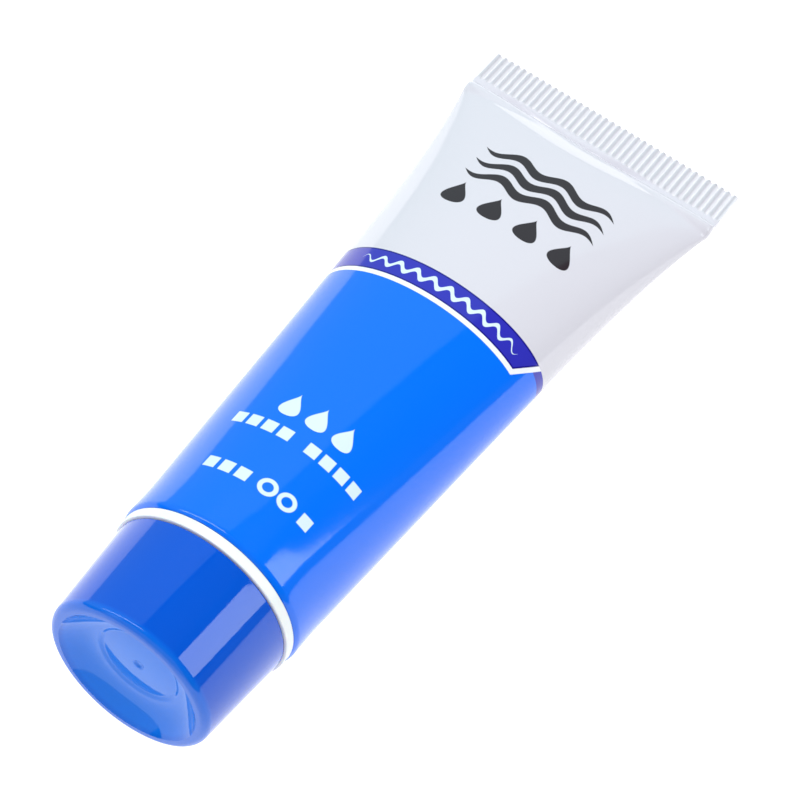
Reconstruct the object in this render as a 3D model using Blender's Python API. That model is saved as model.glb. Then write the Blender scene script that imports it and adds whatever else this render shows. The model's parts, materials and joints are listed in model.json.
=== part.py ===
"""Shaving cream tube lying on its back: a crimped plastic sleeve on a white threaded head, closed by a
wide screw cap, with the barrier insert, foil seal, cap liner and cream that it holds.

The tube's own frame has its axis on Z and z = 0 at the sleeve's open foot. The crimped end is at +z and the
cap at -z, and the printed front faces -Y. An empty holds every piece and lays that frame on the ground.
"""
import math

import bmesh
import bpy
import numpy as np
from mathutils import Vector

MM = 0.001
GAP = 0.3 * MM                      # clearance between separate solids
STEPS = 48                          # sides of a round piece

# Sleeve
TUBE_RADIUS = 12.5 * MM
SLEEVE_LENGTH = 93.6 * MM           # foot to the crimp's outer edge
SLEEVE_WALL = 0.45 * MM
FOOT_ROUND = 0.35 * MM              # how far the foot turns in
FOOT_HEIGHT = 0.8 * MM
ROUND_LENGTH = 4.4 * MM             # stretch above the foot that stays round
FLAT_MARGIN = 3.4 * MM              # flat stretch just before the crimp
EVEN_SHARE = 0.72                   # share of the widening that is spread evenly along the sleeve
LATE_POWER = 6.5                    # how late the rest of the widening comes
BODY_ROWS = 15

# Crimp
CRIMP_HEIGHT = 5.1 * MM
CRIMP_THICKNESS = 1.1 * MM
RIB_COUNT = 37
RIB_DEPTH = 0.25 * MM
RIB_LENGTH = 5.7 * MM               # from the outer edge inwards

# Underside, pressed flat by the tube's own weight
PRESS = 0.25 * MM
PRESS_START = 3.0 * MM
PRESS_END = 60.0 * MM

# Head: rim, shoulder and nozzle
RIM_STEP = 0.35 * MM                # the rim stands this far inside the sleeve's radius
RIM_HEIGHT = 1.2 * MM
RIM_CHAMFER = 0.15 * MM
SPIGOT_LENGTH = 3.0 * MM            # part of the head that stands inside the sleeve
HEAD_WALL = 1.1 * MM
SHOULDER_RISE = 3.4 * MM
NECK_RADIUS = 5.7 * MM              # at the root of the thread
NECK_LENGTH = 4.35 * MM
NECK_WALL = 1.2 * MM
NECK_CHAMFER = 0.3 * MM
LAND_THICKNESS = 0.8 * MM           # web across the nozzle's mouth
ORIFICE_RADIUS = 3.5 * MM

# Thread, right-handed
THREAD_PITCH = 2.5 * MM
THREAD_DEPTH = 0.8 * MM
THREAD_CLEARANCE = 0.3 * MM
THREAD_START = 0.7 * MM             # first ridge above the neck's foot
RIDGE_ROOT = 1.1 * MM
RIDGE_CREST = 0.5 * MM
RIDGE_BURIED = 0.3 * MM             # the ridge reaches this far into its wall
RIDGE_STEPS = 32                    # per turn
RIDGE_FADE = 4                      # steps over which a ridge rises at its ends

# Sealing pieces and filling
INSERT_THICKNESS = 0.4 * MM
FOIL_THICKNESS = 0.15 * MM
LINER_THICKNESS = 1.0 * MM
HEADSPACE = 12.5 * MM               # air between the cream and the crimp

# Cap
CAP_STEP = 0.6 * MM                 # the cap's mouth stands this far inside the sleeve's radius
CAP_DRAFT = math.radians(4.1)
CAP_WALL = 1.0 * MM
CAP_EDGE = 1.0 * MM                 # rounding of the outer edge
CAP_RIM_WIDTH = 0.5 * MM            # flat ring that the tube stands on
END_WALL = 1.5 * MM
DISH_DEPTH = 2.5 * MM
DISC_RADIUS = 5.7 * MM              # raised disc in the dish
DISC_STEP = 0.3 * MM
DISC_CROWN = 0.25 * MM
GATE_RADIUS = 0.7 * MM              # dimple left by the mould
GATE_DEPTH = 0.25 * MM
BOSS_WALL = 1.0 * MM
BOSS_CLEARANCE = 0.4 * MM           # boss mouth above the neck's foot
DISH_STEPS = 5
EDGE_STEPS = 4

# Heights below the foot, all on the cap's side
NECK_FOOT = RIM_HEIGHT + SHOULDER_RISE
LAND = NECK_FOOT + NECK_LENGTH
FOIL_BASE = LAND + GAP
LINER_BASE = FOIL_BASE + FOIL_THICKNESS + GAP
CEILING = LINER_BASE + LINER_THICKNESS + GAP
DISH_FLOOR = CEILING + END_WALL
CAP_MOUTH = RIM_HEIGHT + GAP
CAP_END = DISH_FLOOR + DISH_DEPTH

# The neck's thread ends below its chamfer. The cap's thread runs half a pitch off it and ends below the liner.
NECK_TURNS = (NECK_LENGTH - THREAD_START - RIDGE_ROOT / 2 - NECK_CHAMFER) / THREAD_PITCH
CAP_THREAD_START = NECK_FOOT + THREAD_START + THREAD_PITCH / 2
CAP_TURNS = (LINER_BASE - GAP - RIDGE_ROOT / 2 - CAP_THREAD_START) / THREAD_PITCH

CRIMP_FOOT = SLEEVE_LENGTH - CRIMP_HEIGHT
FILL_LEVEL = CRIMP_FOOT - HEADSPACE
RIM_RADIUS = TUBE_RADIUS - RIM_STEP
SPIGOT_RADIUS = TUBE_RADIUS - SLEEVE_WALL - GAP
CAP_MOUTH_RADIUS = TUBE_RADIUS - CAP_STEP
BORE_RADIUS = NECK_RADIUS + THREAD_DEPTH + THREAD_CLEARANCE
CONE_FOOT_RADIUS = CAP_MOUTH_RADIUS - CAP_WALL - GAP


def make_material(name, color, roughness, metallic=0.0):
    """A Principled material of one colour."""
    material = bpy.data.materials.new(name)
    material.use_nodes = True
    shader = material.node_tree.nodes["Principled BSDF"]
    shader.inputs["Base Color"].default_value = (*color, 1.0)
    shader.inputs["Roughness"].default_value = roughness
    shader.inputs["Metallic"].default_value = metallic
    return material


def lofted(name, rings, material, closed=False):
    """Skin a list of rings that all have the same number of points.

    An open loft gets a flat face over its first and last ring. A closed one joins the last ring to the first.
    """
    work = bmesh.new()
    loops = [[work.verts.new(point) for point in ring] for ring in rings]
    pairs = list(zip(loops, loops[1:]))
    if closed:
        pairs.append((loops[-1], loops[0]))
    else:
        work.faces.new(loops[0])
        work.faces.new(loops[-1])
    for low, high in pairs:
        for i in range(len(low)):
            work.faces.new((low[i - 1], low[i], high[i], high[i - 1]))
    bmesh.ops.recalc_face_normals(work, faces=work.faces)
    mesh = bpy.data.meshes.new(name)
    work.to_mesh(mesh)
    work.free()
    mesh.shade_smooth()
    mesh.set_sharp_from_angle(angle=math.radians(30))
    piece = bpy.data.objects.new(name, mesh)
    piece.data.materials.append(material)
    bpy.context.collection.objects.link(piece)
    return piece


def turned(name, profile, material, closed=False):
    """Turn a profile of (radius, depth) points about the axis; depth is measured towards the cap."""
    # The sides are turned by half a step, so that a flat one lies underneath.
    angles = (np.arange(STEPS) + 0.5) * 2 * math.pi / STEPS
    rings = []
    for radius, depth in profile:
        rings.append([(radius * math.cos(a), radius * math.sin(a), -depth) for a in angles])
    return lofted(name, rings, material, closed)


def ridge(name, root_radius, height, start, turns, material):
    """A right-handed thread ridge on a wall of root_radius; a negative height points inwards."""
    count = round(turns * RIDGE_STEPS)
    side = math.copysign(1.0, height)
    rings = []
    for i in range(count + 1):
        angle = 2 * math.pi * (i + 0.3) / RIDGE_STEPS
        middle = start + THREAD_PITCH * angle / (2 * math.pi)
        fade = min(1.0, i / RIDGE_FADE, (count - i) / RIDGE_FADE)
        buried = root_radius - side * RIDGE_BURIED
        crest = root_radius + height * fade - side * RIDGE_BURIED / 2 * (1 - fade)
        ring = []
        for radius, offset in (
            (buried, -RIDGE_ROOT / 2),
            (crest, -RIDGE_CREST / 2),
            (crest, RIDGE_CREST / 2),
            (buried, RIDGE_ROOT / 2),
        ):
            ring.append((radius * math.cos(angle), -radius * math.sin(angle), -(middle + offset)))
        rings.append(ring)
    return lofted(name, rings, material)


def cut_with(piece, tool, operation):
    """Boolean with a tool that stays in the scene as a guide."""
    tool.hide_render = True
    tool.display_type = "WIRE"
    modifier = piece.modifiers.new(tool.name, "BOOLEAN")
    modifier.operation = operation
    modifier.solver = "EXACT"
    modifier.object = tool


# Sections of the sleeve, which keep one perimeter from the round foot to the flat crimp

WALL_MIDDLE = TUBE_RADIUS - SLEEVE_WALL / 2
FLAT_HALF_WIDTH = math.pi * WALL_MIDDLE / 2 + SLEEVE_WALL / 2


def ellipse_perimeter(a, b):
    """Ramanujan's formula."""
    share = ((a - b) / (a + b)) ** 2
    return math.pi * (a + b) * (1 + 3 * share / (10 + math.sqrt(4 - 3 * share)))


def half_width(z):
    """Half the sleeve's width at height z."""
    reach = CRIMP_FOOT - FLAT_MARGIN - ROUND_LENGTH
    t = min(max((z - ROUND_LENGTH) / reach, 0.0), 1.0)
    growth = EVEN_SHARE * t + (1 - EVEN_SHARE) * t ** LATE_POWER
    return TUBE_RADIUS + (FLAT_HALF_WIDTH - TUBE_RADIUS) * growth


def half_height(z):
    """Half the sleeve's depth at z, from the wall's constant perimeter, by bisection."""
    a = half_width(z) - SLEEVE_WALL / 2
    low, high = 0.0, WALL_MIDDLE
    for _ in range(40):
        middle = (low + high) / 2
        if ellipse_perimeter(a, middle) > 2 * math.pi * WALL_MIDDLE:
            high = middle
        else:
            low = middle
    return max(low + SLEEVE_WALL / 2, CRIMP_THICKNESS / 2)


REST_SLOPE = (half_height(PRESS_START) - half_height(PRESS_END)) / (PRESS_END - PRESS_START)
REST_HEIGHT = half_height(PRESS_START) - PRESS + REST_SLOPE * PRESS_START
LEAN = math.atan(REST_SLOPE)


def rest_plane(z):
    """Distance from the axis to the ground under the tube at z."""
    return REST_HEIGHT - REST_SLOPE * z


def section(z, inset):
    """A ring of STEPS points on the sleeve's outline at z, moved inwards by inset."""
    # The outline goes from an ellipse to a thin rectangle with round ends in the flat margin.
    squareness = min(max((z - CRIMP_FOOT + FLAT_MARGIN) / FLAT_MARGIN, 0.0), 1.0)
    power = 2 / (2 + 6 * squareness)
    foot = FOOT_ROUND * max(0.0, 1 - z / FOOT_HEIGHT) ** 2 if inset == 0 else 0.0
    a = half_width(z) - inset - foot
    b = half_height(z) - inset - foot
    angle = np.linspace(0, 2 * math.pi, 2001)
    x = a * np.sign(np.cos(angle)) * np.abs(np.cos(angle)) ** power
    y = b * np.sign(np.sin(angle)) * np.abs(np.sin(angle)) ** power
    length = np.concatenate([[0.0], np.cumsum(np.hypot(np.diff(x), np.diff(y)))])
    marks = np.arange(STEPS) * length[-1] / STEPS
    ring_x = np.interp(marks, length, x)
    ring_y = np.minimum(np.interp(marks, length, y), rest_plane(z) - inset)
    return [(float(px), float(py), z) for px, py in zip(ring_x, ring_y)]


def body_heights(low, high, rows):
    """Heights from low to high that come closer together towards the crimp."""
    return [low + (high - low) * (1 - (1 - i / rows) ** 1.6) for i in range(rows + 1)]


def cone_depth(radius, offset):
    """Depth of the shoulder's outer cone at a radius, moved inwards by offset along its normal."""
    slope = SHOULDER_RISE / (CONE_FOOT_RADIUS - NECK_RADIUS)
    return NECK_FOOT - (radius - NECK_RADIUS) * slope - offset * math.hypot(1.0, slope)


def make_sleeve(material):
    """The crimped sleeve, open at its foot."""
    # The hollow ends where its walls come within a millimetre of each other.
    hollow_end = CRIMP_FOOT
    while half_height(hollow_end) < SLEEVE_WALL + GAP:
        hollow_end -= GAP
    spigot_end = SPIGOT_LENGTH + GAP
    inner = [section(z, SLEEVE_WALL) for z in body_heights(spigot_end, hollow_end, BODY_ROWS - 1)]
    inner.insert(0, section(0.0, SLEEVE_WALL))
    foot = [section(FOOT_HEIGHT * share, 0.0) for share in (0.0, 0.4)]
    outer = [section(z, 0.0) for z in body_heights(FOOT_HEIGHT, CRIMP_FOOT - FLAT_MARGIN, BODY_ROWS)]
    crimp = [section(z, 0.0) for z in (CRIMP_FOOT - FLAT_MARGIN / 2, CRIMP_FOOT, SLEEVE_LENGTH)]
    sleeve = lofted("tube_sleeve", inner[::-1] + foot + outer + crimp, material)
    cut_with(sleeve, make_crimp_grooves(material), "DIFFERENCE")
    return sleeve


def make_crimp_grooves(material):
    """V-shaped grooves of the sealing jaws, on both faces of the crimp, as one cutter."""
    pitch = 2 * FLAT_HALF_WIDTH / (RIB_COUNT + 1)
    low = SLEEVE_LENGTH - RIB_LENGTH
    high = SLEEVE_LENGTH + GAP
    mesh = bpy.data.meshes.new("crimp_grooves")
    work = bmesh.new()
    for i in range(RIB_COUNT):
        x = (i + 1 - (RIB_COUNT + 1) / 2) * pitch
        for face in (-1, 1):
            bottom = face * (CRIMP_THICKNESS / 2 - RIB_DEPTH)
            top = face * (CRIMP_THICKNESS / 2 + RIB_DEPTH)
            outline = ((x, bottom), (x - 0.7 * pitch, top), (x + 0.7 * pitch, top))
            ends = [[work.verts.new((px, py, z)) for px, py in outline] for z in (low, high)]
            work.faces.new(ends[0])
            work.faces.new(ends[1])
            for j in range(3):
                work.faces.new((ends[0][j - 1], ends[0][j], ends[1][j], ends[1][j - 1]))
    bmesh.ops.recalc_face_normals(work, faces=work.faces)
    work.to_mesh(mesh)
    work.free()
    cutter = bpy.data.objects.new("crimp_grooves", mesh)
    bpy.context.collection.objects.link(cutter)
    return cutter


def make_head(material):
    """Rim, shoulder cone and threaded nozzle in one moulding."""
    bore = NECK_RADIUS - NECK_WALL
    spigot_bore = SPIGOT_RADIUS - HEAD_WALL
    profile = [
        (ORIFICE_RADIUS, LAND),
        (NECK_RADIUS - NECK_CHAMFER, LAND),
        (NECK_RADIUS, LAND - NECK_CHAMFER),
        (NECK_RADIUS, NECK_FOOT),
        (CONE_FOOT_RADIUS, RIM_HEIGHT),
        (RIM_RADIUS - RIM_CHAMFER, RIM_HEIGHT),
        (RIM_RADIUS, RIM_HEIGHT - RIM_CHAMFER),
        (RIM_RADIUS, GAP),
        (SPIGOT_RADIUS, GAP),
        (SPIGOT_RADIUS, -SPIGOT_LENGTH),
        (spigot_bore, -SPIGOT_LENGTH),
        (spigot_bore, cone_depth(spigot_bore, HEAD_WALL)),
        (bore, cone_depth(bore, HEAD_WALL)),
        (bore, LAND - LAND_THICKNESS),
        (ORIFICE_RADIUS, LAND - LAND_THICKNESS),
    ]
    head = turned("tube_head", profile, material, closed=True)
    thread = ridge("neck_thread", NECK_RADIUS, THREAD_DEPTH, NECK_FOOT + THREAD_START, NECK_TURNS, material)
    cut_with(head, thread, "UNION")
    return head


def make_insert(material):
    """Thin barrier cone under the shoulder."""
    inner = NECK_RADIUS - NECK_WALL + GAP
    outer = SPIGOT_RADIUS - HEAD_WALL - GAP
    top = HEAD_WALL + GAP
    base = top + INSERT_THICKNESS
    profile = [
        (inner, cone_depth(inner, top)),
        (outer, cone_depth(outer, top)),
        (outer, cone_depth(outer, base)),
        (inner, cone_depth(inner, base)),
    ]
    return turned("shoulder_insert", profile, material, closed=True)


def make_foil(material):
    """Membrane sealed over the nozzle's mouth."""
    radius = NECK_RADIUS - NECK_CHAMFER
    return turned("foil_seal", [(radius, FOIL_BASE), (radius, FOIL_BASE + FOIL_THICKNESS)], material)


def make_liner(material):
    """Foam disc that the cap presses on the nozzle."""
    radius = BORE_RADIUS - GAP
    return turned("cap_liner", [(radius, LINER_BASE), (radius, LINER_BASE + LINER_THICKNESS)], material)


def make_cream(material):
    """The filling: under the insert, inside the spigot, then along the sleeve up to the fill level."""
    offset = HEAD_WALL + GAP + INSERT_THICKNESS + GAP
    top = NECK_RADIUS - NECK_WALL
    throat = SPIGOT_RADIUS - HEAD_WALL - GAP
    spigot_end = SPIGOT_LENGTH + GAP
    angles = np.arange(STEPS) * 2 * math.pi / STEPS
    rings = []
    for radius, z in (
        (top, -cone_depth(top, offset)),
        (throat, -cone_depth(throat, offset)),
        (throat, spigot_end),
    ):
        rings.append([(radius * math.cos(a), radius * math.sin(a), z) for a in angles])
    inset = SLEEVE_WALL + GAP
    rings += [section(z, inset) for z in body_heights(spigot_end, FILL_LEVEL, BODY_ROWS - 4)]
    return lofted("cream", rings, material)


def make_cap(material):
    """Screw cap: tapered skirt, dished end with a flat standing ring, and a threaded boss inside."""
    boss = BORE_RADIUS + BOSS_WALL
    boss_mouth = NECK_FOOT + BOSS_CLEARANCE

    def skirt(depth):
        return CAP_MOUTH_RADIUS - (depth - CAP_MOUTH) * math.tan(CAP_DRAFT)

    edge_start = CAP_END - CAP_EDGE
    ring_outer = skirt(edge_start) - CAP_EDGE
    ring_inner = ring_outer - CAP_RIM_WIDTH
    dish_edge = DISH_FLOOR + DISC_STEP

    def dish(radius):
        share = (radius - DISC_RADIUS) / (ring_inner - DISC_RADIUS)
        return dish_edge + (CAP_END - dish_edge) * share ** 2

    pocket = dish(boss) - END_WALL
    profile = [
        (BORE_RADIUS, CEILING),
        (BORE_RADIUS, boss_mouth),
        (boss, boss_mouth),
        (boss, pocket),
        (skirt(pocket) - CAP_WALL, pocket),
        (CAP_MOUTH_RADIUS - CAP_WALL, CAP_MOUTH),
        (CAP_MOUTH_RADIUS, CAP_MOUTH),
    ]
    for i in range(EDGE_STEPS + 1):
        turn = math.pi / 2 * i / EDGE_STEPS
        profile.append((ring_outer + CAP_EDGE * math.cos(turn), edge_start + CAP_EDGE * math.sin(turn)))
    for i in range(DISH_STEPS + 1):
        radius = ring_inner + (DISC_RADIUS - ring_inner) * i / DISH_STEPS
        profile.append((radius, dish(radius)))
    profile.append((DISC_RADIUS - DISC_STEP, DISH_FLOOR))
    profile.append((DISC_RADIUS / 2, DISH_FLOOR + DISC_CROWN * 0.75))
    profile.append((GATE_RADIUS, DISH_FLOOR + DISC_CROWN))
    profile.append((GATE_RADIUS * 0.6, DISH_FLOOR + DISC_CROWN - GATE_DEPTH))
    cap = turned("screw_cap", profile, material)
    thread = ridge("cap_thread", BORE_RADIUS, -THREAD_DEPTH, CAP_THREAD_START, CAP_TURNS, material)
    cut_with(cap, thread, "UNION")
    return cap


def lay_down(pieces):
    """Lay the tube on its pressed underside, with the middle of its footprint at the origin."""
    frame = bpy.data.objects.new("tube_frame", None)
    bpy.context.collection.objects.link(frame)
    frame.rotation_euler = (-(math.pi / 2 + LEAN), 0.0, 0.0)
    for piece in pieces:
        piece.parent = frame
    bpy.context.view_layer.update()
    corners = [piece.matrix_world @ vertex.co for piece in pieces for vertex in piece.data.vertices]
    low = [min(corner[axis] for corner in corners) for axis in range(3)]
    high = [max(corner[axis] for corner in corners) for axis in range(3)]
    frame.location = Vector(((-low[0] - high[0]) / 2, (-low[1] - high[1]) / 2, -low[2]))
    return frame


for old in list(bpy.data.objects):
    bpy.data.objects.remove(old)

blue_print = make_material("sleeve_print", (0.0, 0.16, 0.9), 0.3)
blue_cap = make_material("cap_plastic", (0.01, 0.11, 0.68), 0.25)
white_plastic = make_material("head_plastic", (0.85, 0.87, 0.9), 0.35)
foil_metal = make_material("foil", (0.9, 0.9, 0.9), 0.3, 1.0)
foam = make_material("liner_foam", (0.9, 0.9, 0.88), 0.8)
film = make_material("barrier_film", (0.8, 0.82, 0.85), 0.4)
white_cream = make_material("cream", (0.95, 0.95, 0.93), 0.4)

head = make_head(white_plastic)
cap = make_cap(blue_cap)
solids = [
    make_sleeve(blue_print),
    head,
    make_insert(film),
    make_foil(foil_metal),
    make_cream(white_cream),
    make_liner(foam),
    cap,
]
tools = [child for child in bpy.data.objects if child.display_type == "WIRE"]
tube_frame = lay_down(solids)
for tool in tools:
    tool.parent = tube_frame
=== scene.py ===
# %% [markdown]
# # A shaving cream tube on its back
#
# This lesson dresses a finished CAD model of a cosmetic tube. The solids already fit together and the cap
# already unscrews, so nothing here moves or resizes them. What is added is what the eye sees: a fine
# laminate skin with its print, sealing ribs and soft dents, polished and satin mouldings, a foil seal, and
# the light.
#
# The first cell loads the CAD model as a fixed frame. Every piece made later is hung on one of its bodies.

# %% Load the frame
import json
import math

import bmesh
import bpy
import numpy as np
from mathutils import Matrix, Vector


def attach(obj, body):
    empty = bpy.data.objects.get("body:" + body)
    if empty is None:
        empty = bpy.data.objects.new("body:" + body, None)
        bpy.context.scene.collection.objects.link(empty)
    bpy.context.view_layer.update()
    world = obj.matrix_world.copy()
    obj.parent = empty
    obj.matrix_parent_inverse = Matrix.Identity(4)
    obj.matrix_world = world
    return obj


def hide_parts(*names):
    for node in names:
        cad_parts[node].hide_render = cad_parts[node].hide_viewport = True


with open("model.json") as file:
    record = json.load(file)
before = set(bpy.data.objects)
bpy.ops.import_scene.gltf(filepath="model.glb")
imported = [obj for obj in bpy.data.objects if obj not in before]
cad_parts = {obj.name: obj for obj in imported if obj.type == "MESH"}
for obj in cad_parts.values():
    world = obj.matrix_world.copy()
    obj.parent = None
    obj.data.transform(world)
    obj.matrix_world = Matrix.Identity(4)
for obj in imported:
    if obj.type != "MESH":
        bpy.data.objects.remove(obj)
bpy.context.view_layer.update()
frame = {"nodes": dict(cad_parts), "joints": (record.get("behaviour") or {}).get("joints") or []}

# %% [markdown]
# ## The tube's own axes
#
# A tube is easiest to model standing: its axis on Z, heights counted from the sleeve's open foot, the
# crimp above and the cap below, the printed front facing -Y. The CAD model lies down instead, tilted by a
# few degrees. One matrix takes points from the standing frame to the lying one, and it comes from the
# cap's own hinge, which gives the axis and the middle of the cap's end. All lengths below are in
# millimetres until the matrix turns them into metres.

# %% The tube's axes, from the cap's hinge
MM = 0.001
CAP_DEPTH = 15.0                    # cap end below the sleeve's foot

turn = next(joint for joint in frame["joints"] if joint["name"] == "cap_turn")
cap_axis = Vector(turn["axis"]).normalized()
across = Vector((1, 0, 0))
front = cap_axis.cross(across)
foot = Vector(turn["pos_m"]) - cap_axis * CAP_DEPTH * MM

tube_matrix = Matrix((across, -front, -cap_axis)).transposed().to_4x4()
tube_matrix.translation = foot
print("foot of the sleeve", [round(value, 5) for value in foot])

# %% [markdown]
# ## Skins from rings
#
# Every shape here is either turned about the axis or lofted along it, so one helper is enough: it takes a
# list of rings and joins each to the next with quads. A ring of a single point closes the shape like the
# pole of a globe. Building the mesh directly gives full control over where the rows lie, which a
# subdivision surface would round off, and fine rows can be spent where light will catch an edge.

# %% A skin over rings
SHARP_ANGLE = math.radians(45)      # edges sharper than this stay hard


def skin(name, rings, body, closed=False):
    """Join rings of points, in millimetres in the tube's frame, and hang the piece on a body."""
    points = []
    starts = []
    for ring in rings:
        starts.append((len(points), len(ring)))
        points.extend(ring)
    pairs = list(zip(starts, starts[1:]))
    if closed:
        pairs.append((starts[-1], starts[0]))
    faces = []
    for (low, low_count), (high, high_count) in pairs:
        count = max(low_count, high_count)
        for i in range(count):
            after = (i + 1) % count
            if low_count == 1:
                faces.append((low, high + after, high + i))
            elif high_count == 1:
                faces.append((low + i, low + after, high))
            else:
                faces.append((low + i, low + after, high + after, high + i))
    mesh = bpy.data.meshes.new(name)
    mesh.from_pydata(np.array(points) * MM, [], faces)
    mesh.transform(tube_matrix)
    work = bmesh.new()
    work.from_mesh(mesh)
    bmesh.ops.recalc_face_normals(work, faces=work.faces)
    work.to_mesh(mesh)
    work.free()
    mesh.shade_smooth()
    mesh.set_sharp_from_angle(angle=SHARP_ANGLE)
    piece = bpy.data.objects.new(name, mesh)
    bpy.context.collection.objects.link(piece)
    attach(piece, body)
    print(name, len(mesh.polygons), "faces")
    return piece


# %% [markdown]
# A turned piece is a profile of radius and depth points swept about the axis. Corners of real mouldings are
# never perfectly sharp, so the profile helper replaces a corner by a small arc. That tiny radius is what
# draws a bright line along an edge.

# %% Turned pieces with rounded corners
TURN_SIDES = 256
ARC_STEPS = 5


def rounded(corners):
    """Replace each (radius, depth, rounding) corner by an arc; rounding 0 keeps it sharp."""
    count = len(corners)
    profile = []
    for i in range(count):
        here = Vector(corners[i][:2])
        size = corners[i][2]
        if size == 0:
            profile.append((here.x, here.y))
            continue
        back = (Vector(corners[i - 1][:2]) - here).normalized()
        ahead = (Vector(corners[(i + 1) % count][:2]) - here).normalized()
        half = back.angle(ahead) / 2
        reach = size / math.tan(half)
        middle = here + (back + ahead).normalized() * size / math.sin(half)
        start = here + back * reach - middle
        end = here + ahead * reach - middle
        for step in range(ARC_STEPS + 1):
            spoke = start.slerp(end, step / ARC_STEPS).normalized() * size
            profile.append((middle.x + spoke.x, middle.y + spoke.y))
    return profile


def turned(name, profile, body, closed=False, shape=None):
    """Turn a profile; shape(angle, radius, depth) may change the radius of each point."""
    angles = np.arange(TURN_SIDES) * 2 * math.pi / TURN_SIDES
    rings = []
    for radius, depth in profile:
        if radius == 0:
            rings.append([(0.0, 0.0, -depth)])
            continue
        reach = [shape(angle, radius, depth) if shape else radius for angle in angles]
        ring = [(r * math.cos(a), r * math.sin(a), -depth) for r, a in zip(reach, angles)]
        rings.append(ring)
    return skin(name, rings, body, closed)


print("a turned ring has", TURN_SIDES, "points, an arc", ARC_STEPS, "steps")

# %% [markdown]
# ## A small language for materials
#
# Procedural materials are node graphs. Written out link by link they are long and hard to read, so a few
# helpers turn them into sentences: `calc` adds one Math node, `below` gives a soft-edged mask that is 1
# where a value is under a limit, and `paint` lays a colour over another where a mask is 1. Values that are
# the same all over a surface go straight onto the shader's sockets.

# %% Material helpers
def new_material(name, roughness, **sockets):
    """A Principled material; sockets are constant inputs, given with _ for spaces."""
    material = bpy.data.materials.new(name)
    material.use_nodes = True
    shader = material.node_tree.nodes["Principled BSDF"]
    shader.inputs["Roughness"].default_value = roughness
    for socket, value in sockets.items():
        shader.inputs[socket.replace("_", " ")].default_value = value
    return material, material.node_tree, shader


def feed(tree, value, socket):
    """Link an output to a socket, or set the socket to a number."""
    if isinstance(value, bpy.types.NodeSocket):
        tree.links.new(value, socket)
    else:
        socket.default_value = value


def calc(tree, operation, *values, clamp=False):
    """One Math node."""
    node = tree.nodes.new("ShaderNodeMath")
    node.operation = operation
    node.use_clamp = clamp
    for value, socket in zip(values, node.inputs):
        feed(tree, value, socket)
    return node.outputs[0]


def below(tree, value, limit, soft):
    """1 where value is under limit and 0 over it, with an edge as wide as soft."""
    gap = calc(tree, "SUBTRACT", limit, value)
    return calc(tree, "MULTIPLY_ADD", gap, 1 / soft, 0.5, clamp=True)


def both(tree, *masks):
    """Where all masks overlap."""
    result = masks[0]
    for mask in masks[1:]:
        result = calc(tree, "MULTIPLY", result, mask)
    return result


def either(tree, *masks):
    """Where any mask is."""
    result = masks[0]
    for mask in masks[1:]:
        result = calc(tree, "MAXIMUM", result, mask)
    return result


def paint(tree, under, colour, mask):
    """Lay colour over what is under it, where mask is 1."""
    node = tree.nodes.new("ShaderNodeMix")
    node.data_type = "RGBA"
    feed(tree, mask, node.inputs["Factor"])
    for value, socket in ((under, node.inputs[6]), (colour, node.inputs[7])):
        feed(tree, (*value, 1.0) if isinstance(value, tuple) else value, socket)
    return node.outputs[2]


print("shader helpers", [helper.__name__ for helper in (calc, below, both, either, paint)])

# %% [markdown]
# Surfaces that look perfectly smooth still have life in them: laminate has a faint orange peel, mouldings
# have flow marks and handling haze. `noise` reads a 3-D noise in the piece's own coordinates, so it moves
# with the piece, and `relief` and `vary_gloss` use it for bump and for roughness.

# %% Noise, relief and gloss
def noise(tree, grain, detail=3.0, stretch=(1.0, 1.0, 1.0)):
    """Noise whose features are about grain millimetres wide, centred on 0."""
    place = tree.nodes.new("ShaderNodeTexCoord")
    mapping = tree.nodes.new("ShaderNodeMapping")
    mapping.inputs["Scale"].default_value = stretch
    texture = tree.nodes.new("ShaderNodeTexNoise")
    texture.inputs["Scale"].default_value = 1 / (grain * MM)
    texture.inputs["Detail"].default_value = detail
    tree.links.new(place.outputs["Object"], mapping.inputs["Vector"])
    tree.links.new(mapping.outputs["Vector"], texture.inputs["Vector"])
    return calc(tree, "SUBTRACT", texture.outputs[0], 0.5)


def relief(tree, shader, height):
    """Bump from a height in millimetres."""
    bump = tree.nodes.new("ShaderNodeBump")
    bump.inputs["Distance"].default_value = MM
    feed(tree, height, bump.inputs["Height"])
    tree.links.new(bump.outputs["Normal"], shader.inputs["Normal"])


def vary_gloss(tree, shader, amount, grain):
    """Let the roughness wander around its set value by amount."""
    base = shader.inputs["Roughness"].default_value
    feed(tree, calc(tree, "MULTIPLY_ADD", noise(tree, grain), amount, base), shader.inputs["Roughness"])


print("surface helpers", [helper.__name__ for helper in (noise, relief, vary_gloss)])

# %% [markdown]
# ## The sleeve's section
#
# The sleeve begins as a round pipe and ends as a flat seam. Laminate bends but doesn't stretch, so every
# section between them has the same perimeter: as the width grows, the depth has to shrink. An ellipse of
# constant perimeter says exactly that. The width grows evenly at first and fans out just under the crimp.
# The filled tube also sags onto the table, which presses its underside flat.

# %% Sections of constant perimeter
TUBE_RADIUS = 12.5
SLEEVE_WALL = 0.45
SLEEVE_LENGTH = 93.6
ROUND_LENGTH = 4.4                  # stays round above the foot
FLAT_MARGIN = 3.4                   # flat stretch before the crimp
CRIMP_HEIGHT = 5.1
CRIMP_THICKNESS = 1.1
EVEN_SHARE = 0.72
LATE_POWER = 6.5
FOOT_ROUND = 0.35                   # how far the foot turns in
FOOT_HEIGHT = 0.8
PRESS = 0.25
PRESS_START = 3.0
PRESS_END = 60.0

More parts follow.
